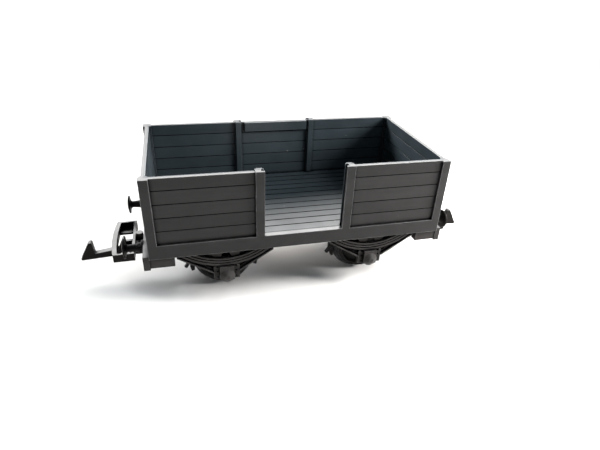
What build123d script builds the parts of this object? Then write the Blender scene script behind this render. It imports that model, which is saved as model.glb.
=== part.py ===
from build123d import *
from math import cos, radians, sin
import os

# Four-wheel five-plank open goods wagon for 45 mm gauge track, in millimetres.
# +X runs along the wagon, +Y across it, +Z up. The origin is on the ground under its middle,
# level with the bottom of the wheel flanges. "Near" is the -Y side and "far" is the +Y side.

# ---- driving dimensions -------------------------------------------------------------------
BODY_LENGTH = 170.0
BODY_WIDTH = 89.2
WHEELBASE = 88.0
TREAD_RADIUS = 15.5
FLANGE_RADIUS = 18.0
AXLE_RADIUS = 1.5
SILL_ABOVE_AXLE = 17.4
SILL_HEIGHT = 8.2
PLANK_HEIGHT = 7.75
PLANK_COUNT = 5
TOP_PLANK_HEIGHT = 6.8
DOORWAY_WIDTH = 45.0
POST_WIDTH = 4.9
RUNNING_CLEARANCE = 0.05

# ---- levels and faces that follow ---------------------------------------------------------
AXLE_Z = FLANGE_RADIUS
SILL_Z = AXLE_Z + SILL_ABOVE_AXLE
DECK_Z = SILL_Z + SILL_HEIGHT
WALL_TOP_Z = DECK_Z + (PLANK_COUNT - 1) * PLANK_HEIGHT + TOP_PLANK_HEIGHT
DOOR_POST_TOP_Z = WALL_TOP_Z + 0.6
PLANK_JOINTS_Z = [DECK_Z + row * PLANK_HEIGHT for row in range(1, PLANK_COUNT)]
HALF_LENGTH = BODY_LENGTH / 2
HALF_WIDTH = BODY_WIDTH / 2
AXLE_X = WHEELBASE / 2
GROOVE_WIDTH = 0.45
GROOVE_DEPTH = 0.4

# ---- sides, ends and door -----------------------------------------------------------------
SILL_INNER_Y = 40.5
PANEL_OUTER_Y = 43.1
POST_INNER_Y = 38.8
POST_STEP_Y = 39.7
POST_STEP_INSET = 0.8
END_OUTER_X = 83.6
END_INNER_X = 81.3
END_SILL_INNER_X = 81.0
DOOR_SLOT_DEPTH = 1.5
DOOR_SLOT_Y = (40.3, 43.0)
DOOR_SLOT_CLEARANCE = 0.3
DOOR_REST_GAP = 0.05
DOOR_RAIL_INNER_Y = 39.0
DOOR_RAIL_HEIGHT = 6.0
DOOR_RAIL_X = (-20.6, 21.9)

# ---- floor and underframe -----------------------------------------------------------------
FLOOR_BOARD_WIDTH = 6.8
FLOOR_BOARD_COUNT = 12
DECK_THICKNESS = 3.0
CHASSIS_THICKNESS = 3.0
CHASSIS_HALF_LENGTH = 80.8
CHASSIS_HALF_WIDTH = 40.3
CHASSIS_Z = DECK_Z - DECK_THICKNESS - CHASSIS_THICKNESS
CENTRE_RAIL_Y = (13.0, 15.0)
CENTRE_RAIL_DEPTH = 4.0
CENTRE_RAIL_HALF_LENGTH = 72.0
SCREW_X = 76.0
SCREW_Y = 30.0
SCREW_RADIUS = 1.2
SCREW_HEAD_RADIUS = 2.3
SCREW_HEAD_HEIGHT = 1.4
SCREW_BITE = 2.0
SCREW_SLOT_WIDTH = 0.6
SCREW_SLOT_DEPTH = 0.6
HEADSTOCK_OUTER_X = 88.4
HEADSTOCK_HALF_WIDTH = 43.4
HEADSTOCK_Z = (SILL_Z - 7.3, SILL_Z + 1.2)
SOLEBAR_END_X = 72.0
SOLEBAR_END_Y = (38.2, 43.0)
SOLEBAR_END_DEPTH = 6.4

# ---- axle guards, springs and axleboxes, measured outwards from the wagon's middle plane ---
GUARD_WEB_Y = (37.8, 39.4)
GUARD_HORN_Y = (37.8, 40.2)
GUARD_LEG_Y = (36.4, 39.4)
GUARD_FOOT_Y = 34.0
GUARD_HALF_SPAN = 27.0
HORN_X = (4.0, 7.4)
HORN_BOTTOM_Z = SILL_Z - 20.7
HORN_TOP_Z = SILL_Z - 9.5
HORN_FACE_TOP_Z = SILL_Z - 11.5
LEG_BOTTOM_Z = SILL_Z - 15.7
LEG_SLOPE = 0.638
LEG_HEIGHT = 2.3
LEG_LIP_HEIGHT = 0.9
LEG_LIP_FACE_Y = 41.2
SPRING_CENTRE_Z = SILL_Z + 29.65
GUARD_WEB_RADIUS = 40.5
GUARD_HOLE_RADIUS = 36.0
GUARD_HOLE_TOP_Z = SILL_Z - 3.4
HORN_DIMPLE_X = 5.3
HORN_DIMPLES_Z = (SILL_Z - 12.1, SILL_Z - 15.2, SILL_Z - 19.2)
HORN_DIMPLE_RADIUS = 0.7
HORN_DIMPLE_DEPTH = 0.6
LEAF_RADII = ((36.05, 37.1), (37.7, 38.8), (39.4, 40.7))
LEAF_BACK_Y = (39.4, 39.7)
LEAF_FACE_Y = 40.8
AXLEBOX_Y = (36.0, 42.2)
AXLEBOX_Z = (SILL_Z - 20.4, SILL_Z - 11.3)
CAP_BASE_RADIUS = 4.4
CAP_TIP_RADIUS = 1.5
CAP_TIP_Y = 44.2
AXLE_BORE_DEPTH_Y = 41.7
AXLE_HALF_LENGTH = 41.4

# ---- brake shoes, about each axle ---------------------------------------------------------
SHOE_RADII = (18.6, 20.6)
SHOE_ANGLES = (-18.0, 8.0)
SHOE_Y = (19.4, 24.4)
HANGER_X = (19.2, 21.0)
HANGER_Y = (20.6, 23.2)
BRAKE_PEG_Y = (22.8, 24.6)
BRAKE_PEG_OUTLINE = [(19.4, 0.4), (20.9, 1.4), (23.7, -3.0), (22.2, -4.0)]

# ---- wheels -------------------------------------------------------------------------------
WHEEL_BACK_Y = 20.0
FLANGE_EDGE_Y = 20.5
FLANGE_FRONT_Y = 21.6
WHEEL_FACE_Y = 26.0
TREAD_TAPER = 0.3
RIM_INNER_RADIUS = 13.2
WEB_Y = (21.2, 23.6)
HUB_RADIUS = 4.0
HUB_Y = (18.6, 27.0)

# ---- buffers ------------------------------------------------------------------------------
BUFFER_Y = 27.4
BUFFER_Z = SILL_Z - 1.7
BUFFER_HEAD_RADIUS = 5.8
BUFFER_FACE_X = 100.0
BUFFER_HEAD_X = 98.3
BUFFER_BASE_RADIUS = 4.0
BUFFER_BASE_X = 89.4
BUFFER_NECK_RADIUS = 1.95
BUFFER_FIN_THICKNESS = 0.9

# ---- hook and loop couplers, for the +X end; heights are below the sill --------------------
PIVOT_X = 92.6
PIVOT_RADIUS = 1.25
PIVOT_BOSS_RADIUS = 2.2
PIVOT_BOSS_Z = (SILL_Z - 11.3, SILL_Z - 7.4)
PIVOT_TAIL_RADIUS = 1.9
PIVOT_TAIL_Z = (SILL_Z - 21.1, SILL_Z - 20.3)
TONGUE_HALF_WIDTH = 3.2
TONGUE_Z = (SILL_Z - 17.2, SILL_Z - 14.6)
BRACKET_POST_X = (74.0, 80.8)
BRACKET_POST_HALF_WIDTH = 7.0
ROOT_X = (89.6, 97.4)
ROOT_HALF_WIDTH = 5.0
ROOT_Z = (SILL_Z - 20.0, SILL_Z - 11.6)
FORK_SLOT_END_X = 96.2
FORK_SLOT_Z = (SILL_Z - 17.5, SILL_Z - 14.3)
EAR_X = 102.0
EAR_Y = (2.4, 4.6)
EAR_TOP_Z = SILL_Z - 14.4
LOOP_HALF_WIDTH = 20.0
LOOP_SIDE_THICKNESS = 1.3
LOOP_REAR_X = (95.1, 96.7)
LOOP_FRONT_OUTER_X = (106.9, 108.5)
LOOP_FRONT_INNER_X = (104.6, 105.7)
LOOP_TOP_Z = SILL_Z - 10.0
LOOP_SIDE_BOTTOM_Z = SILL_Z - 14.2
LOOP_FRONT_BOTTOM_Z = SILL_Z - 15.0
SHELF_INNER_Y = 12.0
SHELF_THICKNESS = 1.2
HOOK_HALF_WIDTH = 2.0
HOOK_PIN_X = 100.2
HOOK_PIN_Z = SILL_Z - 18.0
HOOK_PIN_RADIUS = 0.9
HOOK_HUB_RADIUS = 1.95
HOOK_SPRING_X = (94.9, 104.4)
HOOK_SPRING_Z = (SILL_Z - 20.3, SILL_Z - 20.0)
HOOK_SPRING_HALF_WIDTH = 1.5

SIDES = {"near": -1, "far": 1}
ENDS = {"left": -1, "right": 1}


# ---- simple solids ------------------------------------------------------------------------
def block(x, y, z):
    """Box between two x, two y and two z values."""
    size = (x[1] - x[0], y[1] - y[0], z[1] - z[0])
    centre = ((x[0] + x[1]) / 2, (y[0] + y[1]) / 2, (z[0] + z[1]) / 2)
    return Pos(*centre) * Box(*size)


def bar_y(x, z, radius, y):
    """Round bar along Y."""
    return Pos(x, (y[0] + y[1]) / 2, z) * Rot(90, 0, 0) * Cylinder(radius, y[1] - y[0])


def bar_z(x, y, radius, z):
    """Round bar along Z."""
    return Pos(x, y, (z[0] + z[1]) / 2) * Cylinder(radius, z[1] - z[0])


def slab_y(outline, y):
    """Outline of (x, z) points, extruded along Y."""
    wire = Polyline(*[(px, y[0], pz) for px, pz in outline], close=True)
    return extrude(make_face(wire), amount=y[1] - y[0], dir=(0, 1, 0))


def turned(outline):
    """Outline of (distance along the axis, radius) points, revolved about X."""
    wire = Polyline(*[(along, radius, 0) for along, radius in outline], close=True)
    return revolve(make_face(wire), Axis.X)


def at_corner(solid, axle_x, side):
    """Place a far-side solid, made about x = 0, at one wheel. Near-side ones are turned round."""
    turn = Rot(0, 0, 0) if side > 0 else Rot(0, 0, 180)
    return Pos(axle_x, 0, 0) * turn * solid


def at_end(solid, end):
    """Place a solid made for the +X end at either end, turned round for the -X end."""
    return solid if end > 0 else Rot(0, 0, 180) * solid


# ---- body ---------------------------------------------------------------------------------
def floor_deck():
    deck = block(
        (-END_SILL_INNER_X, END_SILL_INNER_X),
        (-SILL_INNER_Y, SILL_INNER_Y),
        (DECK_Z - DECK_THICKNESS, DECK_Z),
    )
    for joint in range(1, FLOOR_BOARD_COUNT):
        y = (joint - FLOOR_BOARD_COUNT / 2) * FLOOR_BOARD_WIDTH
        deck -= block(
            (-END_SILL_INNER_X, END_SILL_INNER_X),
            (y - GROOVE_WIDTH / 2, y + GROOVE_WIDTH / 2),
            (DECK_Z - GROOVE_DEPTH, DECK_Z + 1),
        )
    for x in (-SCREW_X, SCREW_X):
        for y in (-SCREW_Y, SCREW_Y):
            deck -= bar_z(x, y, SCREW_RADIUS, (0, DECK_Z - DECK_THICKNESS + SCREW_BITE))
    return deck


def side_panel(x):
    """Planked wall between two posts, on the near side, grooved on both faces."""
    panel = block(x, (-PANEL_OUTER_Y, -SILL_INNER_Y), (DECK_Z, WALL_TOP_Z))
    for z in PLANK_JOINTS_Z:
        groove_z = (z - GROOVE_WIDTH / 2, z + GROOVE_WIDTH / 2)
        panel -= block(x, (-PANEL_OUTER_Y - 1, -PANEL_OUTER_Y + GROOVE_DEPTH), groove_z)
        panel -= block(x, (-SILL_INNER_Y - GROOVE_DEPTH, -SILL_INNER_Y + 1), groove_z)
    return panel


def post(x, top_z):
    """Upright with a stepped rib inside the body, on the near side."""
    upright = block(x, (-HALF_WIDTH, -POST_STEP_Y), (DECK_Z, top_z))
    rib_x = (x[0] + POST_STEP_INSET, x[1] - POST_STEP_INSET)
    return upright + block(rib_x, (-POST_STEP_Y, -POST_INNER_Y), (DECK_Z, top_z))


def side():
    """Near side: sill, two planked panels, two corner posts and two slotted door posts."""
    half_door = DOORWAY_WIDTH / 2
    wall = block(
        (-HALF_LENGTH, HALF_LENGTH), (-HALF_WIDTH, -SILL_INNER_Y), (SILL_Z, DECK_Z)
    )
    wall += side_panel((-HALF_LENGTH + POST_WIDTH, -half_door - POST_WIDTH))
    wall += side_panel((half_door + POST_WIDTH, HALF_LENGTH - POST_WIDTH))
    wall += post((-HALF_LENGTH, -HALF_LENGTH + POST_WIDTH), WALL_TOP_Z)
    wall += post((HALF_LENGTH - POST_WIDTH, HALF_LENGTH), WALL_TOP_Z)
    wall += post((-half_door - POST_WIDTH, -half_door), DOOR_POST_TOP_Z)
    wall += post((half_door, half_door + POST_WIDTH), DOOR_POST_TOP_Z)
    wall -= block(
        (-half_door - DOOR_SLOT_DEPTH, half_door + DOOR_SLOT_DEPTH),
        (-DOOR_SLOT_Y[1], -DOOR_SLOT_Y[0]),
        (DECK_Z, DOOR_POST_TOP_Z + 1),
    )
    return wall


def end_wall():
    """Planked end between the corner posts, with its own sill, for the +X end."""
    wall = block(
        (END_SILL_INNER_X, HALF_LENGTH), (-SILL_INNER_Y, SILL_INNER_Y), (SILL_Z, DECK_Z)
    )
    span_y = (-POST_INNER_Y, POST_INNER_Y)
    wall += block((END_INNER_X, END_OUTER_X), span_y, (DECK_Z, WALL_TOP_Z))
    for z in PLANK_JOINTS_Z:
        groove_z = (z - GROOVE_WIDTH / 2, z + GROOVE_WIDTH / 2)
        wall -= block((END_OUTER_X - GROOVE_DEPTH, END_OUTER_X + 1), span_y, groove_z)
        wall -= block((END_INNER_X - 1, END_INNER_X + GROOVE_DEPTH), span_y, groove_z)
    return wall


def side_door():
    """Lift-out plank door of the far side, with a thicker rail along its inner top edge."""
    half_width = DOORWAY_WIDTH / 2 + DOOR_SLOT_DEPTH - DOOR_SLOT_CLEARANCE
    face_y = (DOOR_SLOT_Y[0] + DOOR_SLOT_CLEARANCE, DOOR_SLOT_Y[1] - DOOR_SLOT_CLEARANCE)
    bottom_z = DECK_Z + DOOR_REST_GAP
    door = block((-half_width, half_width), face_y, (bottom_z, WALL_TOP_Z))
    for z in PLANK_JOINTS_Z:
        groove_z = (z - GROOVE_WIDTH / 2, z + GROOVE_WIDTH / 2)
        door -= block((-half_width, half_width), (face_y[1] - GROOVE_DEPTH, HALF_WIDTH), groove_z)
        door -= block((-half_width, half_width), (0, face_y[0] + GROOVE_DEPTH), groove_z)
    rail_z = (WALL_TOP_Z - DOOR_RAIL_HEIGHT, WALL_TOP_Z)
    return door + block(DOOR_RAIL_X, (DOOR_RAIL_INNER_Y, face_y[0]), rail_z)


# ---- underframe ---------------------------------------------------------------------------
def chassis_frame():
    """Plate under the floor with two rails along its middle."""
    plate_z = (CHASSIS_Z, CHASSIS_Z + CHASSIS_THICKNESS)
    plate = block(
        (-CHASSIS_HALF_LENGTH, CHASSIS_HALF_LENGTH),
        (-CHASSIS_HALF_WIDTH, CHASSIS_HALF_WIDTH),
        plate_z,
    )
    rail_x = (-CENTRE_RAIL_HALF_LENGTH, CENTRE_RAIL_HALF_LENGTH)
    rail_z = (CHASSIS_Z - CENTRE_RAIL_DEPTH, CHASSIS_Z)
    plate += block(rail_x, CENTRE_RAIL_Y, rail_z)
    plate += block(rail_x, (-CENTRE_RAIL_Y[1], -CENTRE_RAIL_Y[0]), rail_z)
    for x in (-SCREW_X, SCREW_X):
        for y in (-SCREW_Y, SCREW_Y):
            plate -= bar_z(x, y, SCREW_RADIUS, (0, DECK_Z))
    return plate


def body_screws():
    """Four slotted screws that hold the chassis frame to the floor, from below."""
    head_z = (CHASSIS_Z - SCREW_HEAD_HEIGHT, CHASSIS_Z)
    shank_z = (CHASSIS_Z, DECK_Z - DECK_THICKNESS + SCREW_BITE)
    slot_z = (head_z[0] - 1, head_z[0] + SCREW_SLOT_DEPTH)
    screws = []
    for x in (-SCREW_X, SCREW_X):
        for y in (-SCREW_Y, SCREW_Y):
            screw = bar_z(x, y, SCREW_HEAD_RADIUS, head_z) + bar_z(x, y, SCREW_RADIUS, shank_z)
            slot_x = (x - SCREW_HEAD_RADIUS, x + SCREW_HEAD_RADIUS)
            slot_y = (y - SCREW_SLOT_WIDTH / 2, y + SCREW_SLOT_WIDTH / 2)
            screws.append(screw - block(slot_x, slot_y, slot_z))
    return Compound(children=screws)


def headstock():
    return block(
        (HALF_LENGTH, HEADSTOCK_OUTER_X),
        (-HEADSTOCK_HALF_WIDTH, HEADSTOCK_HALF_WIDTH),
        HEADSTOCK_Z,
    )


def solebar_end():
    """Short block under one corner, for the far side of the +X end."""
    return block(
        (SOLEBAR_END_X, HALF_LENGTH), SOLEBAR_END_Y, (SILL_Z - SOLEBAR_END_DEPTH, SILL_Z)
    )


def buffer():
    """Rigid buffer: flange, stepped collar, tapered shank and a thin domed head."""
    profile = [
        (HEADSTOCK_OUTER_X, 0),
        (HEADSTOCK_OUTER_X, BUFFER_BASE_RADIUS),
        (BUFFER_BASE_X, BUFFER_BASE_RADIUS),
        (BUFFER_BASE_X + 0.3, BUFFER_BASE_RADIUS - 1.0),
        (BUFFER_BASE_X + 2.3, BUFFER_BASE_RADIUS - 1.2),
        (BUFFER_BASE_X + 2.6, BUFFER_NECK_RADIUS + 0.5),
        (BUFFER_HEAD_X - 1.4, BUFFER_NECK_RADIUS),
        (BUFFER_HEAD_X - 0.4, BUFFER_NECK_RADIUS + 1.0),
        (BUFFER_HEAD_X, BUFFER_HEAD_RADIUS - 0.2),
        (BUFFER_HEAD_X + 0.3, BUFFER_HEAD_RADIUS),
        (BUFFER_HEAD_X + 0.8, BUFFER_HEAD_RADIUS),
        (BUFFER_FACE_X - 0.5, BUFFER_HEAD_RADIUS * 0.75),
        (BUFFER_FACE_X - 0.15, BUFFER_HEAD_RADIUS * 0.42),
        (BUFFER_FACE_X, 0),
    ]
    solid = turned(profile)
    fin_reach = BUFFER_BASE_RADIUS - 0.3
    half_fin = BUFFER_FIN_THICKNESS / 2
    fin = slab_y(
        [
            (BUFFER_BASE_X - 0.2, -fin_reach),
            (BUFFER_BASE_X - 0.2, fin_reach),
            (BUFFER_BASE_X + 3.2, BUFFER_NECK_RADIUS + 0.4),
            (BUFFER_BASE_X + 3.2, -BUFFER_NECK_RADIUS - 0.4),
        ],
        (-half_fin, half_fin),
    )
    for turn in (45, 135):
        solid += Rot(turn, 0, 0) * fin
    return Pos(0, BUFFER_Y, BUFFER_Z) * solid


# ---- axle guards, springs, axleboxes and brakes, made for the far side at x = 0 ------------
def sloped_strip(hand, start_x, height, y):
    """Strip along the lower edge of a leg, which rises outwards to the end of the guard."""
    outline = []
    for x, up in ((start_x, 0), (GUARD_HALF_SPAN, 0), (GUARD_HALF_SPAN, height), (start_x, height)):
        outline.append((hand * x, LEG_BOTTOM_Z + LEG_SLOPE * (x - HORN_X[1]) + up))
    return slab_y(outline, y)


def guard_leg(hand):
    """Leg from a horn up to the sill, with an outward lip along its lower edge."""
    leg = sloped_strip(hand, HORN_X[1] - 1, LEG_HEIGHT, GUARD_LEG_Y)
    return leg + sloped_strip(hand, HORN_X[1], LEG_LIP_HEIGHT, (GUARD_LEG_Y[0], LEG_LIP_FACE_Y))


def w_iron():
    """Axle guard: a web under the sill, two lipped legs and two horns, with a mounting foot."""
    span = (-GUARD_HALF_SPAN, GUARD_HALF_SPAN)
    under_sill = block(span, GUARD_WEB_Y, (HORN_TOP_Z - 5, SILL_Z))
    guard = bar_y(0, SPRING_CENTRE_Z, GUARD_WEB_RADIUS, GUARD_WEB_Y) & under_sill
    opening = bar_y(0, SPRING_CENTRE_Z, GUARD_HOLE_RADIUS, GUARD_WEB_Y)
    windows = [
        [(-2.9, -4), (-2.6, -1), (-1.7, 0), (1.7, 0), (2.6, -1), (2.9, -4)],
        [(7.2, -4), (7.8, -0.5), (8.4, 0), (16.0, 0), (16.0, -4)],
        [(-7.2, -4), (-7.8, -0.5), (-8.4, 0), (-16.0, 0), (-16.0, -4)],
    ]
    for window in windows:
        outline = [(x, GUARD_HOLE_TOP_Z + z) for x, z in window]
        guard -= opening & slab_y(outline, GUARD_WEB_Y)
    for hand in (-1, 1):
        guard += guard_leg(hand)
        horn_x = sorted((hand * HORN_X[0], hand * HORN_X[1]))
        guard += block(horn_x, GUARD_WEB_Y, (HORN_BOTTOM_Z, HORN_TOP_Z))
        guard += block(horn_x, GUARD_HORN_Y, (HORN_BOTTOM_Z, HORN_FACE_TOP_Z))
        for z in HORN_DIMPLES_Z:
            dimple_y = (GUARD_HORN_Y[1] - HORN_DIMPLE_DEPTH, GUARD_HORN_Y[1] + 1)
            guard -= bar_y(hand * HORN_DIMPLE_X, z, HORN_DIMPLE_RADIUS, dimple_y)
    return guard + block(span, (GUARD_FOOT_Y, GUARD_WEB_Y[1]), (SILL_Z, CHASSIS_Z))


def leaf_spring():
    """Three curved leaves on one thin backing, cut off level with the sill."""
    below_sill = block((-GUARD_HALF_SPAN, GUARD_HALF_SPAN), (0, HALF_WIDTH), (0, SILL_Z))
    backing = bar_y(0, SPRING_CENTRE_Z, LEAF_RADII[-1][1], LEAF_BACK_Y)
    backing -= bar_y(0, SPRING_CENTRE_Z, LEAF_RADII[0][0], LEAF_BACK_Y)
    spring = backing
    for inner, outer in LEAF_RADII:
        leaf_y = (LEAF_BACK_Y[1], LEAF_FACE_Y)
        leaf = bar_y(0, SPRING_CENTRE_Z, outer, leaf_y)
        spring += leaf - bar_y(0, SPRING_CENTRE_Z, inner, leaf_y)
    return spring & below_sill


def axlebox():
    """Axlebox between the horns with a conical cap and a blind bore for the axle end."""
    box = block((-HORN_X[0], HORN_X[0]), AXLEBOX_Y, AXLEBOX_Z)
    cap = Cone(CAP_BASE_RADIUS, CAP_TIP_RADIUS, CAP_TIP_Y - AXLEBOX_Y[1])
    box += Pos(0, (CAP_TIP_Y + AXLEBOX_Y[1]) / 2, AXLE_Z) * Rot(-90, 0, 0) * cap
    bore_y = (AXLEBOX_Y[0], AXLE_BORE_DEPTH_Y)
    return box - bar_y(0, AXLE_Z, AXLE_RADIUS + RUNNING_CLEARANCE, bore_y)


def brake_shoe(with_peg):
    """Curved shoe on a straight hanger, on the +X side; the peg slants down from its face."""
    sector = [(0, AXLE_Z)]
    for angle in SHOE_ANGLES:
        reach = 2 * SHOE_RADII[1]
        sector.append((reach * cos(radians(angle)), AXLE_Z + reach * sin(radians(angle))))
    shoe = bar_y(0, AXLE_Z, SHOE_RADII[1], SHOE_Y) - bar_y(0, AXLE_Z, SHOE_RADII[0], SHOE_Y)
    shoe = shoe & slab_y(sector, SHOE_Y)
    shoe += block(HANGER_X, HANGER_Y, (AXLE_Z, CHASSIS_Z))
    if with_peg:
        outline = [(x, AXLE_Z + z) for x, z in BRAKE_PEG_OUTLINE]
        shoe += slab_y(outline, BRAKE_PEG_Y)
    return shoe


# ---- wheelsets ----------------------------------------------------------------------------
def wheel():
    """Flanged disc wheel, for the far side at x = 0."""
    profile = [
        (HUB_Y[0], AXLE_RADIUS),
        (HUB_Y[0], HUB_RADIUS),
        (WEB_Y[0], HUB_RADIUS),
        (WEB_Y[0], RIM_INNER_RADIUS),
        (WHEEL_BACK_Y, RIM_INNER_RADIUS),
        (WHEEL_BACK_Y, FLANGE_RADIUS - 0.6),
        (FLANGE_EDGE_Y - 0.1, FLANGE_RADIUS),
        (FLANGE_EDGE_Y + 0.3, FLANGE_RADIUS),
        (FLANGE_FRONT_Y, TREAD_RADIUS),
        (WHEEL_FACE_Y - 0.3, TREAD_RADIUS - TREAD_TAPER),
        (WHEEL_FACE_Y, TREAD_RADIUS - TREAD_TAPER - 0.3),
        (WHEEL_FACE_Y, RIM_INNER_RADIUS),
        (WEB_Y[1], RIM_INNER_RADIUS - 0.6),
        (WEB_Y[1], HUB_RADIUS + 0.5),
        (HUB_Y[1], HUB_RADIUS),
        (HUB_Y[1], AXLE_RADIUS),
    ]
    return Pos(0, 0, AXLE_Z) * Rot(0, 0, 90) * turned(profile)


def axle(x):
    return bar_y(x, AXLE_Z, AXLE_RADIUS, (-AXLE_HALF_LENGTH, AXLE_HALF_LENGTH))


# ---- couplers, made for the +X end ----------------------------------------------------------
def coupler_bracket():
    """Post under the chassis with a tongue that reaches forward under the headstock."""
    bracket = block(
        BRACKET_POST_X,
        (-BRACKET_POST_HALF_WIDTH, BRACKET_POST_HALF_WIDTH),
        (TONGUE_Z[0], CHASSIS_Z),
    )
    tongue_y = (-TONGUE_HALF_WIDTH, TONGUE_HALF_WIDTH)
    bracket += block((BRACKET_POST_X[1], PIVOT_X), tongue_y, TONGUE_Z)
    bracket += bar_z(PIVOT_X, 0, TONGUE_HALF_WIDTH, TONGUE_Z)
    return bracket - bar_z(PIVOT_X, 0, PIVOT_RADIUS, TONGUE_Z)


def coupler_pivot():
    """Upright pin through the fork and tongue, with a round boss on top."""
    pin = bar_z(PIVOT_X, 0, PIVOT_RADIUS, (PIVOT_TAIL_Z[0], PIVOT_BOSS_Z[0]))
    pin += bar_z(PIVOT_X, 0, PIVOT_TAIL_RADIUS, PIVOT_TAIL_Z)
    return pin + bar_z(PIVOT_X, 0, PIVOT_BOSS_RADIUS, PIVOT_BOSS_Z)


def loop_outline(rear_x, half_width, front_x):
    """Plan of the loop: straight rear and sides, and a front that bows outwards."""
    rear_near = (rear_x, -half_width)
    front_near = (front_x[0], -half_width)
    front_far = (front_x[0], half_width)
    rear_far = (rear_x, half_width)
    edges = Polyline(front_far, rear_far, rear_near, front_near)
    bow = ThreePointArc(front_near, (front_x[1], 0), front_far)
    return make_face(edges + bow)


def coupler_loop():
    """Loop, inner shelves, forked root and the two ears that carry the hook's pin."""
    outer = loop_outline(LOOP_REAR_X[0], LOOP_HALF_WIDTH, LOOP_FRONT_OUTER_X)
    inner = loop_outline(
        LOOP_REAR_X[1], LOOP_HALF_WIDTH - LOOP_SIDE_THICKNESS, LOOP_FRONT_INNER_X
    )
    height = LOOP_TOP_Z - LOOP_FRONT_BOTTOM_Z
    ring = Pos(0, 0, LOOP_FRONT_BOTTOM_Z) * extrude(outer - inner, amount=height)
    everywhere_y = (-LOOP_HALF_WIDTH, LOOP_HALF_WIDTH)
    ring -= block(
        (LOOP_REAR_X[0], LOOP_FRONT_INNER_X[0]),
        everywhere_y,
        (LOOP_FRONT_BOTTOM_Z, LOOP_SIDE_BOTTOM_Z),
    )
    shelf_x = (LOOP_REAR_X[0], LOOP_FRONT_INNER_X[1])
    shelf_z = (LOOP_SIDE_BOTTOM_Z - SHELF_THICKNESS, LOOP_SIDE_BOTTOM_Z + 0.2)
    for hand in (-1, 1):
        shelf_y = sorted((hand * SHELF_INNER_Y, hand * (LOOP_HALF_WIDTH - LOOP_SIDE_THICKNESS / 2)))
        ring += block(shelf_x, shelf_y, shelf_z)
    root = slab_y(
        [
            (ROOT_X[0], ROOT_Z[0]),
            (ROOT_X[1], ROOT_Z[0]),
            (ROOT_X[1], EAR_TOP_Z),
            (LOOP_REAR_X[0], ROOT_Z[1]),
            (ROOT_X[0], ROOT_Z[1]),
        ],
        (-ROOT_HALF_WIDTH, ROOT_HALF_WIDTH),
    )
    root -= block((0, FORK_SLOT_END_X), (-ROOT_HALF_WIDTH, ROOT_HALF_WIDTH), FORK_SLOT_Z)
    root -= bar_z(PIVOT_X, 0, PIVOT_RADIUS + RUNNING_CLEARANCE, ROOT_Z)
    ring += root
    for hand in (-1, 1):
        ear_y = sorted((hand * EAR_Y[0], hand * EAR_Y[1]))
        ring += block((ROOT_X[1], EAR_X), ear_y, (ROOT_Z[0], EAR_TOP_Z))
    pin_y = (-EAR_Y[1], EAR_Y[1])
    return ring - bar_y(HOOK_PIN_X, HOOK_PIN_Z, HOOK_PIN_RADIUS, pin_y)


def coupler_hook():
    """Hook lever: hub, upright horn inside the loop, shank under it and the barbed tip."""
    outline = [
        (99.6, -16.2),
        (101.0, -15.4),
        (101.3, -10.7),
        (101.9, -10.1),
        (102.6, -10.2),
        (103.6, -12.6),
        (105.6, -16.9),
        (111.5, -17.7),
        (119.6, -18.9),
        (120.3, -11.7),
        (121.0, -11.1),
        (122.3, -11.3),
        (128.0, -21.8),
        (127.5, -22.8),
        (105.6, -21.5),
        (104.8, -19.95),
        (99.6, -19.85),
    ]
    width = (-HOOK_HALF_WIDTH, HOOK_HALF_WIDTH)
    hook = slab_y([(x, SILL_Z + z) for x, z in outline], width)
    hook += bar_y(HOOK_PIN_X, HOOK_PIN_Z, HOOK_HUB_RADIUS, width)
    return hook - bar_y(HOOK_PIN_X, HOOK_PIN_Z, HOOK_PIN_RADIUS + RUNNING_CLEARANCE, width)


def hook_pin():
    return bar_y(HOOK_PIN_X, HOOK_PIN_Z, HOOK_PIN_RADIUS, (-EAR_Y[1], EAR_Y[1]))


def hook_spring():
    """Flat strip under the root that presses the hook's tip up."""
    return block(
        HOOK_SPRING_X, (-HOOK_SPRING_HALF_WIDTH, HOOK_SPRING_HALF_WIDTH), HOOK_SPRING_Z
    )


# ---- every separate piece, by name ----------------------------------------------------------
parts = {
    "floor_deck": floor_deck(),
    "near_side": side(),
    "far_side": Rot(0, 0, 180) * side(),
    "side_door": side_door(),
    "chassis_frame": chassis_frame(),
    "body_screws": body_screws(),
}
for end_name, end in ENDS.items():
    parts[end_name + "_end"] = at_end(end_wall(), end)
    parts[end_name + "_headstock"] = at_end(headstock(), end)
    parts["axle_" + end_name] = axle(end * AXLE_X)
    parts["coupler_bracket_" + end_name] = at_end(coupler_bracket(), end)
    parts["coupler_pivot_" + end_name] = at_end(coupler_pivot(), end)
    parts["coupler_loop_" + end_name] = at_end(coupler_loop(), end)
    parts["coupler_hook_" + end_name] = at_end(coupler_hook(), end)
    parts["hook_pin_" + end_name] = at_end(hook_pin(), end)
    parts["hook_spring_" + end_name] = at_end(hook_spring(), end)
    for side_name, across in SIDES.items():
        corner = side_name + "_" + end_name
        parts["w_iron_" + corner] = at_corner(w_iron(), end * AXLE_X, across)
        parts["leaf_spring_" + corner] = at_corner(leaf_spring(), end * AXLE_X, across)
        parts["axlebox_" + corner] = at_corner(axlebox(), end * AXLE_X, across)
        parts["wheel_" + corner] = at_corner(wheel(), end * AXLE_X, across)
        for place, hand in (("outer", end), ("inner", -end)):
            shoe = brake_shoe(with_peg=hand == across)
            shoe = shoe if hand > 0 else mirror(shoe, Plane.YZ)
            shoe = shoe if across > 0 else mirror(shoe, Plane.XZ)
            parts["brake_shoe_" + corner + "_" + place] = Pos(end * AXLE_X, 0, 0) * shoe
        for name, solid in (("solebar_end_", solebar_end()), ("buffer_", buffer())):
            solid = solid if across > 0 else mirror(solid, Plane.XZ)
            solid = solid if end > 0 else mirror(solid, Plane.YZ)
            parts[name + corner] = solid

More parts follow.
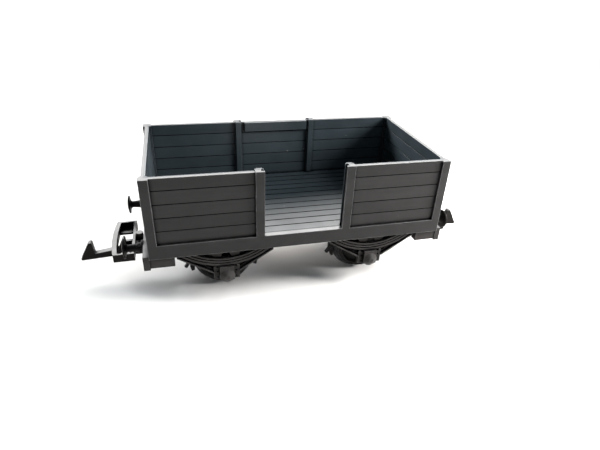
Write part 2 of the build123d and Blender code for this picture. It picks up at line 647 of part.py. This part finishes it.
os.makedirs("parts", exist_ok=True)
for name, solid in parts.items():
    export_step(solid, f"parts/{name}.step")
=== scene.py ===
from math import cos, radians, sin

import bpy
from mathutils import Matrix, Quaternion, Vector


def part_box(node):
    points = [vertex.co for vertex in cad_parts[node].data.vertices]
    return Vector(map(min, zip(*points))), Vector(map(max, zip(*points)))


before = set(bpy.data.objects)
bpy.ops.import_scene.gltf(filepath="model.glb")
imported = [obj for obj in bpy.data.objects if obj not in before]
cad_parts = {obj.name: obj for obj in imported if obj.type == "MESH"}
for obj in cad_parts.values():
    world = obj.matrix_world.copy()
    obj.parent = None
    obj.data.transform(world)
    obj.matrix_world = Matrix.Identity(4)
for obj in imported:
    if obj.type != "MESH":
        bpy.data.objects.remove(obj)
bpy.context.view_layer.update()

# Looks of a four-wheel open goods wagon in moulded plastic. Metres, in the CAD frame:
# +X along the wagon, +Y towards the far side, +Z up, the ground at z = 0.

MM = 0.001

# ---- camera ---------------------------------------------------------------------------------
LOOK_AT = Vector((13.8, 0.0, 13.0)) * MM
CAMERA_DISTANCE = 317.1 * MM
CAMERA_AZIMUTH = -16.4
CAMERA_ELEVATION = 30.96
CAMERA_ROLL = 2.96
LENS = 27.69
SHIFT_X = -0.0089
SHIFT_Y = 0.0189
CLIP_NEAR = 0.01
CLIP_FAR = 50.0

# ---- places on the wagon ----------------------------------------------------------------------
DECK_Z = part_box("floor_deck")[1].z
AXLE_CENTRE = (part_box("axle_right")[0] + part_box("axle_right")[1]) / 2
PLANK_PITCH = 7.75 * MM
FLOOR_BOARD_PITCH = 6.8 * MM
# Plank faces nearer the middle than these two distances count as the inside of the body.
INSIDE_X = 82.0 * MM
INSIDE_Y = 41.2 * MM
# The outermost face of the near side, and the top of the end walls.
PROUD_Y = -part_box("near_side")[0].y
RIM_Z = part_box("left_end")[1].z
EDGE_BLEND = 0.6 * MM
TREAD_INNER_RADIUS = 14.9 * MM
TREAD_OUTER_RADIUS = 15.1 * MM

# ---- colours, linear ----------------------------------------------------------------------------
# The body is one grey plastic. Its inside is drawn cooler, to stand in for light from the sky.
BODY_OUTSIDE = (0.0215, 0.0209, 0.0206)
BODY_INSIDE = (0.020, 0.027, 0.031)
FRAME_BROWN = (0.028, 0.0255, 0.024)
COUPLER_BROWN = (0.0080, 0.0068, 0.0062)
WHEEL_BLACK = (0.007, 0.0065, 0.006)
STEEL_GREY = (0.45, 0.45, 0.46)
DUST = (0.30, 0.28, 0.25)
# Lighter grey for wear on edges and treads; along proud edges it is also a painted highlight.
WEAR_AND_EDGE_HIGHLIGHT_GREY = (0.36, 0.36, 0.36)
# Near-black for dark board joints and for painted shade in grooves and corners.
JOINT_DIRT_AND_SHADE_BLACK = (0.001, 0.001, 0.001)
FLOOR_PALE = (0.74, 0.715, 0.685)
FLOOR_PALER = (0.77, 0.745, 0.715)
SKY = (0.75, 0.88, 1.0, 1.0)
SKY_STRENGTH = 0.15

# ---- shine, as specular level -------------------------------------------------------------------
BODY_SHINE = 0.12
SIDE_INNER_SHINE = 0.34
END_INNER_SHINE = 0.60
FLOOR_INNER_SHINE = 0.36
FRAME_SHINE = 0.12
BUFFER_TOP_SHINE = 0.12
DARK_SHINE = 0.06
RUBBED_SHINE = 0.7
STUDIO_FLOOR_SHINE = 0.1
PLAIN_SHINE = 0.5

# ---- wear and painted edge highlights, dust, dark board joints, painted shade in corners --------
# Edges drawn lighter, by wear and by painted highlight.
PLANK_WEAR_AND_HIGHLIGHT_REACH = 0.45 * MM
MOULDED_WEAR_AND_HIGHLIGHT_REACH = 0.3 * MM
WEAR_AND_HIGHLIGHT_ALIKE = (0.995, 0.80)
WEAR_AND_HIGHLIGHT_SAMPLES = 4
WEAR_AND_HIGHLIGHT_PATCHES = (0.35, 0.65)
LOOKS_UP = (0.5, 0.95)
# Painted shade: darkening in grooves and corners, found by ambient occlusion.
PLANK_PAINTED_SHADE_REACH = 2.4 * MM
MOULDED_PAINTED_SHADE_REACH = 4.0 * MM
WHEEL_PAINTED_SHADE_REACH = 3.0 * MM
PAINTED_SHADE_OPEN_SHARE = (0.90, 0.52)
PAINTED_SHADE_SAMPLES = 6
FLOOR_JOINT_DIRT = 0.6 * MM
DUST_CUT = (0.885, 0.90)
DUST_COVER = 0.6

# ---- noise, in cycles per metre -----------------------------------------------------------------
# Noise stays mostly between these two values.
NOISE_LOW = 0.3
NOISE_HIGH = 0.7
GRAIN_ALONG = 40.0
GRAIN_ACROSS = 1500.0
GRAIN_SHIFT = 0.2
PLANK_MOTTLE = 90.0
PLANK_SPECKLE = 2600.0
DUST_FLECK = 700.0
MOULDED_MOTTLE = 120.0
WHEEL_MOTTLE = 150.0
MOULDED_SKIN = 1800.0
STEEL_SCRATCHES = (6000.0, 150.0, 6000.0)
STEEL_FILM = 400.0
FLOOR_CLOUD = 3.0
FLOOR_FINE = 900.0

# ---- rounded edges ------------------------------------------------------------------------------
WELD_DISTANCE = 0.001 * MM
ROUNDED_SEGMENTS = 2
ROUNDED_ANGLE = 35
SIDE_ROUNDING = 0.22 * MM
MIDDLE_ROUNDING = 0.15 * MM
FINE_ROUNDING = 0.12 * MM
STEEL_ROUNDING = 0.05 * MM

STUDIO_FLOOR_REACH = 6.0

# Socket numbers of the colour Mix node.
MIX_SHARE = 0
MIX_FIRST = 6
MIX_SECOND = 7
MIX_RESULT = 2


# ---- node graphs --------------------------------------------------------------------------------
class Graph:
    """A material's nodes, with one call for each node."""

    def __init__(self, name):
        self.material = bpy.data.materials.new(name)
        self.material.use_nodes = True
        self.nodes = self.material.node_tree.nodes
        self.links = self.material.node_tree.links
        self.shader = self.nodes["Principled BSDF"]

    def plug(self, value, socket):
        if isinstance(value, bpy.types.NodeSocket):
            self.links.new(value, socket)
        else:
            socket.default_value = value

    def add(self, kind, inputs, **settings):
        node = self.nodes.new("ShaderNode" + kind)
        for name, value in settings.items():
            setattr(node, name, value)
        for name, value in inputs.items():
            self.plug(value, node.inputs[name])
        return node

    def math(self, operation, *values):
        node = self.add("Math", dict(enumerate(values)), operation=operation)
        return node.outputs[0]

    def place(self):
        """The point on the piece, in metres, in the CAD frame at rest."""
        return self.add("TexCoord", {}).outputs["Object"]

    def parts_of(self, vector):
        return self.add("SeparateXYZ", {"Vector": vector}).outputs

    def stretched(self, vector, scale):
        """Coordinates per metre, stretched by a different scale along each axis."""
        mapping = self.add("Mapping", {"Vector": vector, "Scale": scale})
        return mapping.outputs["Vector"]

    def noise(self, vector, scale, detail=3.0, roughness=0.55):
        inputs = {"Vector": vector, "Scale": scale, "Detail": detail, "Roughness": roughness}
        return self.add("TexNoise", inputs).outputs["Fac"]

    def ranged(self, value, low, high, to_low=0.0, to_high=1.0):
        inputs = {
            "Value": value,
            "From Min": low,
            "From Max": high,
            "To Min": to_low,
            "To Max": to_high,
        }
        return self.add("MapRange", inputs).outputs["Result"]

    def spread(self, noise, to_low, to_high):
        """Noise spread over the given range."""
        return self.ranged(noise, NOISE_LOW, NOISE_HIGH, to_low, to_high)

    def blend(self, share, first, second, mode="MIX"):
        """Colour mix; a colour may be a socket or three numbers."""
        node = self.add("Mix", {}, data_type="RGBA", blend_type=mode, clamp_factor=True)
        for value, socket in ((share, MIX_SHARE), (first, MIX_FIRST), (second, MIX_SECOND)):
            if isinstance(value, tuple):
                value = (*value, 1.0)
            self.plug(value, node.inputs[socket])
        return node.outputs[MIX_RESULT]

    def toned(self, colour, tone):
        """The colour made lighter or darker by a tone near 1."""
        channels = {"Red": tone, "Green": tone, "Blue": tone}
        grey = self.add("CombineColor", channels).outputs["Color"]
        return self.blend(1.0, colour, grey, "MULTIPLY")

    def worn_and_highlighted_edges(self, reach):
        """1 on sharp outer edges, fading out over the given reach: the share of wear and of painted
        edge highlight.
        """
        rounded = self.add("Bevel", {"Radius": reach}, samples=WEAR_AND_HIGHLIGHT_SAMPLES).outputs["Normal"]
        sharp = self.add("NewGeometry", {}).outputs["Normal"]
        inputs = {0: rounded, 1: sharp}
        alike = self.add("VectorMath", inputs, operation="DOT_PRODUCT").outputs["Value"]
        return self.ranged(alike, *WEAR_AND_HIGHLIGHT_ALIKE)

    def patchy_wear_and_highlight(self, reach, mottle, least, most):
        """Edges lighter by wear and by painted highlight, more in some patches than in others."""
        patches = self.ranged(mottle, *WEAR_AND_HIGHLIGHT_PATCHES, least, most)
        return self.math("MULTIPLY", self.worn_and_highlighted_edges(reach), patches)

    def upper_faces(self):
        """1 on faces that look up, which hands and loads rub smooth."""
        normal = self.add("NewGeometry", {}).outputs["Normal"]
        return self.ranged(self.parts_of(normal)["Z"], *LOOKS_UP)

    def crevice_shade(self, reach):
        """1 deep in grooves and corners, 0 in the open: the share of painted shade."""
        shade = self.add("AmbientOcclusion", {"Distance": reach}, samples=PAINTED_SHADE_SAMPLES)
        return self.ranged(shade.outputs["AO"], *PAINTED_SHADE_OPEN_SHARE)

    def darkened_by_dirt_and_shade(self, colour, shine, dark_share):
        """Colour and shine, both darkened by a share of near-black: dark board joints and painted
        shade.
        """
        clean = self.math("SUBTRACT", 1.0, dark_share)
        return self.blend(dark_share, colour, JOINT_DIRT_AND_SHADE_BLACK), self.math("MULTIPLY", clean, shine)

    def bump(self, height, strength, depth, under=None):
        inputs = {"Height": height, "Strength": strength, "Distance": depth}
        if under is not None:
            inputs["Normal"] = under
        return self.add("Bump", inputs).outputs["Normal"]

    def finish(self, colour, roughness, normal, shine=PLAIN_SHINE, metallic=0.0):
        self.plug(colour, self.shader.inputs["Base Color"])
        self.plug(roughness, self.shader.inputs["Roughness"])
        self.plug(normal, self.shader.inputs["Normal"])
        self.plug(shine, self.shader.inputs["Specular IOR Level"])
        self.shader.inputs["Metallic"].default_value = metallic
        return self.material


# ---- planked body ---------------------------------------------------------------------------------
def plank_grain(g, axes, grain_axis, row_tone):
    """Fine grain along the planks, different on each plank."""
    shifted = dict(axes)
    shift = g.math("MULTIPLY", row_tone, GRAIN_SHIFT)
    shifted[grain_axis] = g.math("ADD", axes[grain_axis], shift)
    grain_place = g.add("CombineXYZ", shifted).outputs["Vector"]
    scale = tuple(GRAIN_ALONG if axis == grain_axis else GRAIN_ACROSS for axis in "XYZ")
    return g.noise(g.stretched(grain_place, scale), 1.0, detail=4.0, roughness=0.6)


def inside_share(g, axes):
    """1 on faces inside the body, 0 on its outside."""
    within_x = g.ranged(g.math("ABSOLUTE", axes["X"]), INSIDE_X + EDGE_BLEND, INSIDE_X)
    within_y = g.ranged(g.math("ABSOLUTE", axes["Y"]), INSIDE_Y + EDGE_BLEND, INSIDE_Y)
    return g.math("MULTIPLY", within_x, within_y)


def proud_share(g, axes):
    """1 on the outermost faces of the sides and along the rim, where edges are drawn lighter by wear
    and by painted highlight.
    """
    from_middle = g.math("ABSOLUTE", axes["Y"])
    outer = g.ranged(from_middle, PROUD_Y - EDGE_BLEND, PROUD_Y - EDGE_BLEND / 2)
    rim = g.ranged(axes["Z"], RIM_Z - EDGE_BLEND, RIM_Z - EDGE_BLEND / 2)
    return g.math("MAXIMUM", outer, rim)


def plank_plastic(name, grain_axis, row_axis, row_start, row_pitch, inner_shine, joint_dirt=None):
    """Satin grey plastic moulded as planks, with slight changes from plank to plank."""
    g = Graph(name)
    place = g.place()
    axes = dict(zip("XYZ", g.parts_of(place)))
    from_start = g.math("SUBTRACT", axes[row_axis], row_start)
    row = g.math("FLOOR", g.math("DIVIDE", from_start, row_pitch))
    row_tone = g.add("TexWhiteNoise", {"W": row}, noise_dimensions="1D").outputs["Value"]
    grain = plank_grain(g, axes, grain_axis, row_tone)
    mottle = g.noise(place, PLANK_MOTTLE)
    speckle = g.noise(place, PLANK_SPECKLE, detail=2.0)
    inside = inside_share(g, axes)

    tone = g.ranged(row_tone, 0.0, 1.0, 0.92, 1.08)
    tone = g.math("MULTIPLY", tone, g.spread(mottle, 0.93, 1.07))
    tone = g.math("MULTIPLY", tone, g.spread(grain, 0.94, 1.06))
    colour = g.toned(g.blend(inside, BODY_OUTSIDE, BODY_INSIDE), tone)
    # Proud edges drawn lighter: wear and painted highlight.
    worn_and_lit = g.patchy_wear_and_highlight(PLANK_WEAR_AND_HIGHLIGHT_REACH, mottle, 0.5, 1.0)
    worn_and_lit = g.math("MULTIPLY", worn_and_lit, proud_share(g, axes))
    colour = g.blend(worn_and_lit, colour, WEAR_AND_EDGE_HIGHLIGHT_GREY)
    fleck = g.noise(place, DUST_FLECK, detail=0.0)
    colour = g.blend(g.ranged(fleck, *DUST_CUT, 0.0, DUST_COVER), colour, DUST)

    rubbed = g.math("MULTIPLY", g.upper_faces(), g.math("SUBTRACT", 1.0, inside))
    shine = g.ranged(inside, 0.0, 1.0, BODY_SHINE, inner_shine)
    shine = g.math("ADD", shine, g.math("MULTIPLY", rubbed, RUBBED_SHINE))
    if joint_dirt is not None:
        from_joint = g.math("PINGPONG", from_start, row_pitch / 2)
        dirt = g.ranged(from_joint, joint_dirt, joint_dirt / 2)
        colour, shine = g.darkened_by_dirt_and_shade(colour, shine, dirt)
    # Painted shade: colour and shine darkened in grooves and corners.
    colour, shine = g.darkened_by_dirt_and_shade(colour, shine, g.crevice_shade(PLANK_PAINTED_SHADE_REACH))

    roughness = g.spread(mottle, 0.32, 0.40)
    normal = g.bump(grain, 0.35, 0.05 * MM)
    normal = g.bump(speckle, 0.15, 0.02 * MM, under=normal)
    return g.finish(colour, roughness, normal, shine)


# ---- other materials ------------------------------------------------------------------------------
def moulded_plastic(name, base, shine, top_shine, roughness):
    """Plain moulded plastic: mottle, orange-peel skin, edges lighter by wear and painted highlight,
    rubbed tops, painted shade in corners.
    """
    g = Graph(name)
    place = g.place()
    mottle = g.noise(place, MOULDED_MOTTLE, detail=4.0)
    skin = g.noise(place, MOULDED_SKIN, detail=2.0)
    colour = g.toned(base, g.spread(mottle, 0.90, 1.12))
    # Edges drawn lighter: wear and painted highlight.
    worn_and_lit = g.patchy_wear_and_highlight(MOULDED_WEAR_AND_HIGHLIGHT_REACH, mottle, 0.1, 0.4)
    colour = g.blend(worn_and_lit, colour, WEAR_AND_EDGE_HIGHLIGHT_GREY)
    rubbed = g.ranged(g.upper_faces(), 0.0, 1.0, shine, top_shine)
    # Painted shade: colour and shine darkened in grooves and corners.
    colour, rubbed = g.darkened_by_dirt_and_shade(colour, rubbed, g.crevice_shade(MOULDED_PAINTED_SHADE_REACH))
    normal = g.bump(skin, 0.2, 0.03 * MM)
    return g.finish(colour, g.spread(mottle, *roughness), normal, rubbed)


def wheel_plastic():
    """Near-black plastic wheel, with a tread polished by the rails."""
    g = Graph("wheel_plastic")
    place = g.place()
    x, _, z = g.parts_of(place)
    mottle = g.noise(place, WHEEL_MOTTLE, detail=4.0)
    skin = g.noise(place, MOULDED_SKIN, detail=2.0)
    colour = g.toned(WHEEL_BLACK, g.spread(mottle, 0.85, 1.15))
    from_axle = g.math("SUBTRACT", g.math("ABSOLUTE", x), AXLE_CENTRE.x)
    height = g.math("SUBTRACT", z, AXLE_CENTRE.z)
    squares = g.math("ADD", g.math("POWER", from_axle, 2.0), g.math("POWER", height, 2.0))
    on_tread = g.ranged(g.math("SQRT", squares), TREAD_INNER_RADIUS, TREAD_OUTER_RADIUS)
    tread = g.math("MULTIPLY", on_tread, g.spread(mottle, 0.05, 0.2))
    colour = g.blend(tread, colour, WEAR_AND_EDGE_HIGHLIGHT_GREY)
    # Painted shade: colour and shine darkened in grooves and corners.
    colour, shine = g.darkened_by_dirt_and_shade(colour, DARK_SHINE, g.crevice_shade(WHEEL_PAINTED_SHADE_REACH))
    roughness = g.ranged(tread, 0.0, 1.0, 0.48, 0.28)
    normal = g.bump(skin, 0.15, 0.02 * MM)
    return g.finish(colour, roughness, normal, shine)


def drawn_steel():
    """Drawn steel with fine scratches along Y and a darker film in patches."""
    g = Graph("drawn_steel")
    place = g.place()
    scratches = g.noise(g.stretched(place, STEEL_SCRATCHES), 1.0)
    film = g.noise(place, STEEL_FILM)
    colour = g.toned(STEEL_GREY, g.spread(film, 0.75, 1.1))
    normal = g.bump(scratches, 0.2, 0.01 * MM)
    return g.finish(colour, g.spread(scratches, 0.28, 0.45), normal, metallic=1.0)


def floor_surface():
    """Pale matt studio floor with a very faint tone change."""
    g = Graph("studio_floor")
    cloud = g.noise(g.place(), FLOOR_CLOUD, detail=2.0)
    colour = g.blend(g.spread(cloud, 0.0, 1.0), FLOOR_PALE, FLOOR_PALER)
    fine = g.noise(g.place(), FLOOR_FINE)
    normal = g.bump(fine, 0.05, 0.05 * MM)
    return g.finish(colour, 0.9, normal, STUDIO_FLOOR_SHINE)


# ---- carried-over CAD pieces ------------------------------------------------------------------------
def dress(node_name, material, rounding):
    """Give a CAD node its material and small rounded edges that catch the light."""
    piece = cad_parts[node_name]
    piece.data.materials.clear()
    piece.data.materials.append(material)
    weld = piece.modifiers.new("weld", "WELD")
    weld.merge_threshold = WELD_DISTANCE
    bevel = piece.modifiers.new("rounded_edges", "BEVEL")
    bevel.width = rounding
    bevel.segments = ROUNDED_SEGMENTS
    bevel.limit_method = "ANGLE"
    bevel.angle_limit = radians(ROUNDED_ANGLE)
    bevel.use_clamp_overlap = True
    bevel.harden_normals = True


def dress_all():
    """Dress each node by the first rule whose start its name has; the last rule takes the rest."""
    sides = plank_plastic("side_planks", "X", "Z", DECK_Z, PLANK_PITCH, SIDE_INNER_SHINE)
    ends = plank_plastic("end_planks", "Y", "Z", DECK_Z, PLANK_PITCH, END_INNER_SHINE)
    boards = plank_plastic(
        "floor_boards", "X", "Y", 0.0, FLOOR_BOARD_PITCH, FLOOR_INNER_SHINE, FLOOR_JOINT_DIRT
    )
    underframe = moulded_plastic(
        "underframe_plastic", FRAME_BROWN, FRAME_SHINE, RUBBED_SHINE, roughness=(0.42, 0.55)
    )
    coupler = moulded_plastic(
        "coupler_plastic", COUPLER_BROWN, DARK_SHINE, RUBBED_SHINE, roughness=(0.34, 0.46)
    )
    buffers = moulded_plastic(
        "buffer_plastic", COUPLER_BROWN, DARK_SHINE, BUFFER_TOP_SHINE, roughness=(0.38, 0.50)
    )
    brakes = moulded_plastic(
        "brake_plastic", WHEEL_BLACK, DARK_SHINE, DARK_SHINE, roughness=(0.45, 0.55)
    )
    steel_names = ("axle_left", "axle_right", "hook_pin", "hook_spring", "body_screws")
    rules = [
        (("near_side", "far_side", "side_door"), sides, SIDE_ROUNDING),
        (("left_end", "right_end"), ends, MIDDLE_ROUNDING),
        (("floor_deck",), boards, FINE_ROUNDING),
        (("coupler_",), coupler, MIDDLE_ROUNDING),
        (("buffer_",), buffers, MIDDLE_ROUNDING),
        (("wheel_",), wheel_plastic(), FINE_ROUNDING),
        (("brake_",), brakes, FINE_ROUNDING),
        (steel_names, drawn_steel(), STEEL_ROUNDING),
        (("",), underframe, FINE_ROUNDING),
    ]
    for node_name in sorted(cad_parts):
        for starts, material, rounding in rules:
            if node_name.startswith(starts):
                dress(node_name, material, rounding)
                break


# ---- studio -----------------------------------------------------------------------------------------
def direction(azimuth, elevation):
    """Unit vector towards a place round the wagon: azimuth 0 is the near side, 90 is +X."""
    a = radians(azimuth)
    e = radians(elevation)
    return Vector((sin(a) * cos(e), -cos(a) * cos(e), sin(e)))


def soft_light(name, azimuth, elevation, distance, size, power, colour):
    """A rectangular light that faces the middle of the ground under the wagon."""
    data = bpy.data.lights.new(name, "AREA")
    data.shape = "RECTANGLE"
    data.size = size[0]
    data.size_y = size[1]
    data.energy = power
    data.color = colour
    light = bpy.data.objects.new(name, data)
    bpy.context.scene.collection.objects.link(light)
    towards = direction(azimuth, elevation)
    light.location = towards * distance
    light.rotation_mode = "QUATERNION"
    light.rotation_quaternion = towards.to_track_quat("Z", "Y")


def studio_lights():
    soft_light(
        "back_wall", azimuth=178, elevation=36, distance=6.0,
        size=(8.4, 2.6), power=700.0, colour=(1.0, 0.99, 0.98),
    )
    soft_light(
        "right_box", azimuth=73, elevation=31, distance=0.47,
        size=(0.18, 0.18), power=7.2, colour=(0.99, 0.99, 1.0),
    )
    soft_light(
        "top_box", azimuth=-5, elevation=66, distance=3.0,
        size=(3.0, 2.0), power=17.0, colour=(0.80, 0.92, 1.0),
    )
    soft_light(
        "back_left", azimuth=242, elevation=21, distance=1.5,
        size=(0.5, 0.2), power=32.0, colour=(0.9, 0.95, 1.0),
    )


def studio_world():
    world = bpy.data.worlds.new("studio")
    bpy.context.scene.world = world
    world.use_nodes = True
    background = world.node_tree.nodes["Background"]
    background.inputs["Color"].default_value = SKY
    background.inputs["Strength"].default_value = SKY_STRENGTH


def studio_floor():
    mesh = bpy.data.meshes.new("studio_floor")
    reach = STUDIO_FLOOR_REACH
    corners = [(-reach, -reach, 0), (reach, -reach, 0), (reach, reach, 0), (-reach, reach, 0)]
    mesh.from_pydata(corners, [], [(0, 1, 2, 3)])
    mesh.materials.append(floor_surface())
    floor = bpy.data.objects.new("studio_floor", mesh)
    bpy.context.scene.collection.objects.link(floor)


def camera():
    data = bpy.data.cameras.new("camera")
    data.lens = LENS
    data.shift_x = SHIFT_X
    data.shift_y = SHIFT_Y
    data.clip_start = CLIP_NEAR
    data.clip_end = CLIP_FAR
    made = bpy.data.objects.new("camera", data)
    bpy.context.scene.collection.objects.link(made)
    back = direction(CAMERA_AZIMUTH, CAMERA_ELEVATION)
    made.location = LOOK_AT + back * CAMERA_DISTANCE
    made.rotation_mode = "QUATERNION"
    roll = Quaternion((0, 0, 1), radians(CAMERA_ROLL))
    made.rotation_quaternion = back.to_track_quat("Z", "Y") @ roll
    bpy.context.scene.camera = made


dress_all()
studio_floor()
studio_world()
studio_lights()
camera()
bpy.context.scene.view_settings.view_transform = "Standard"
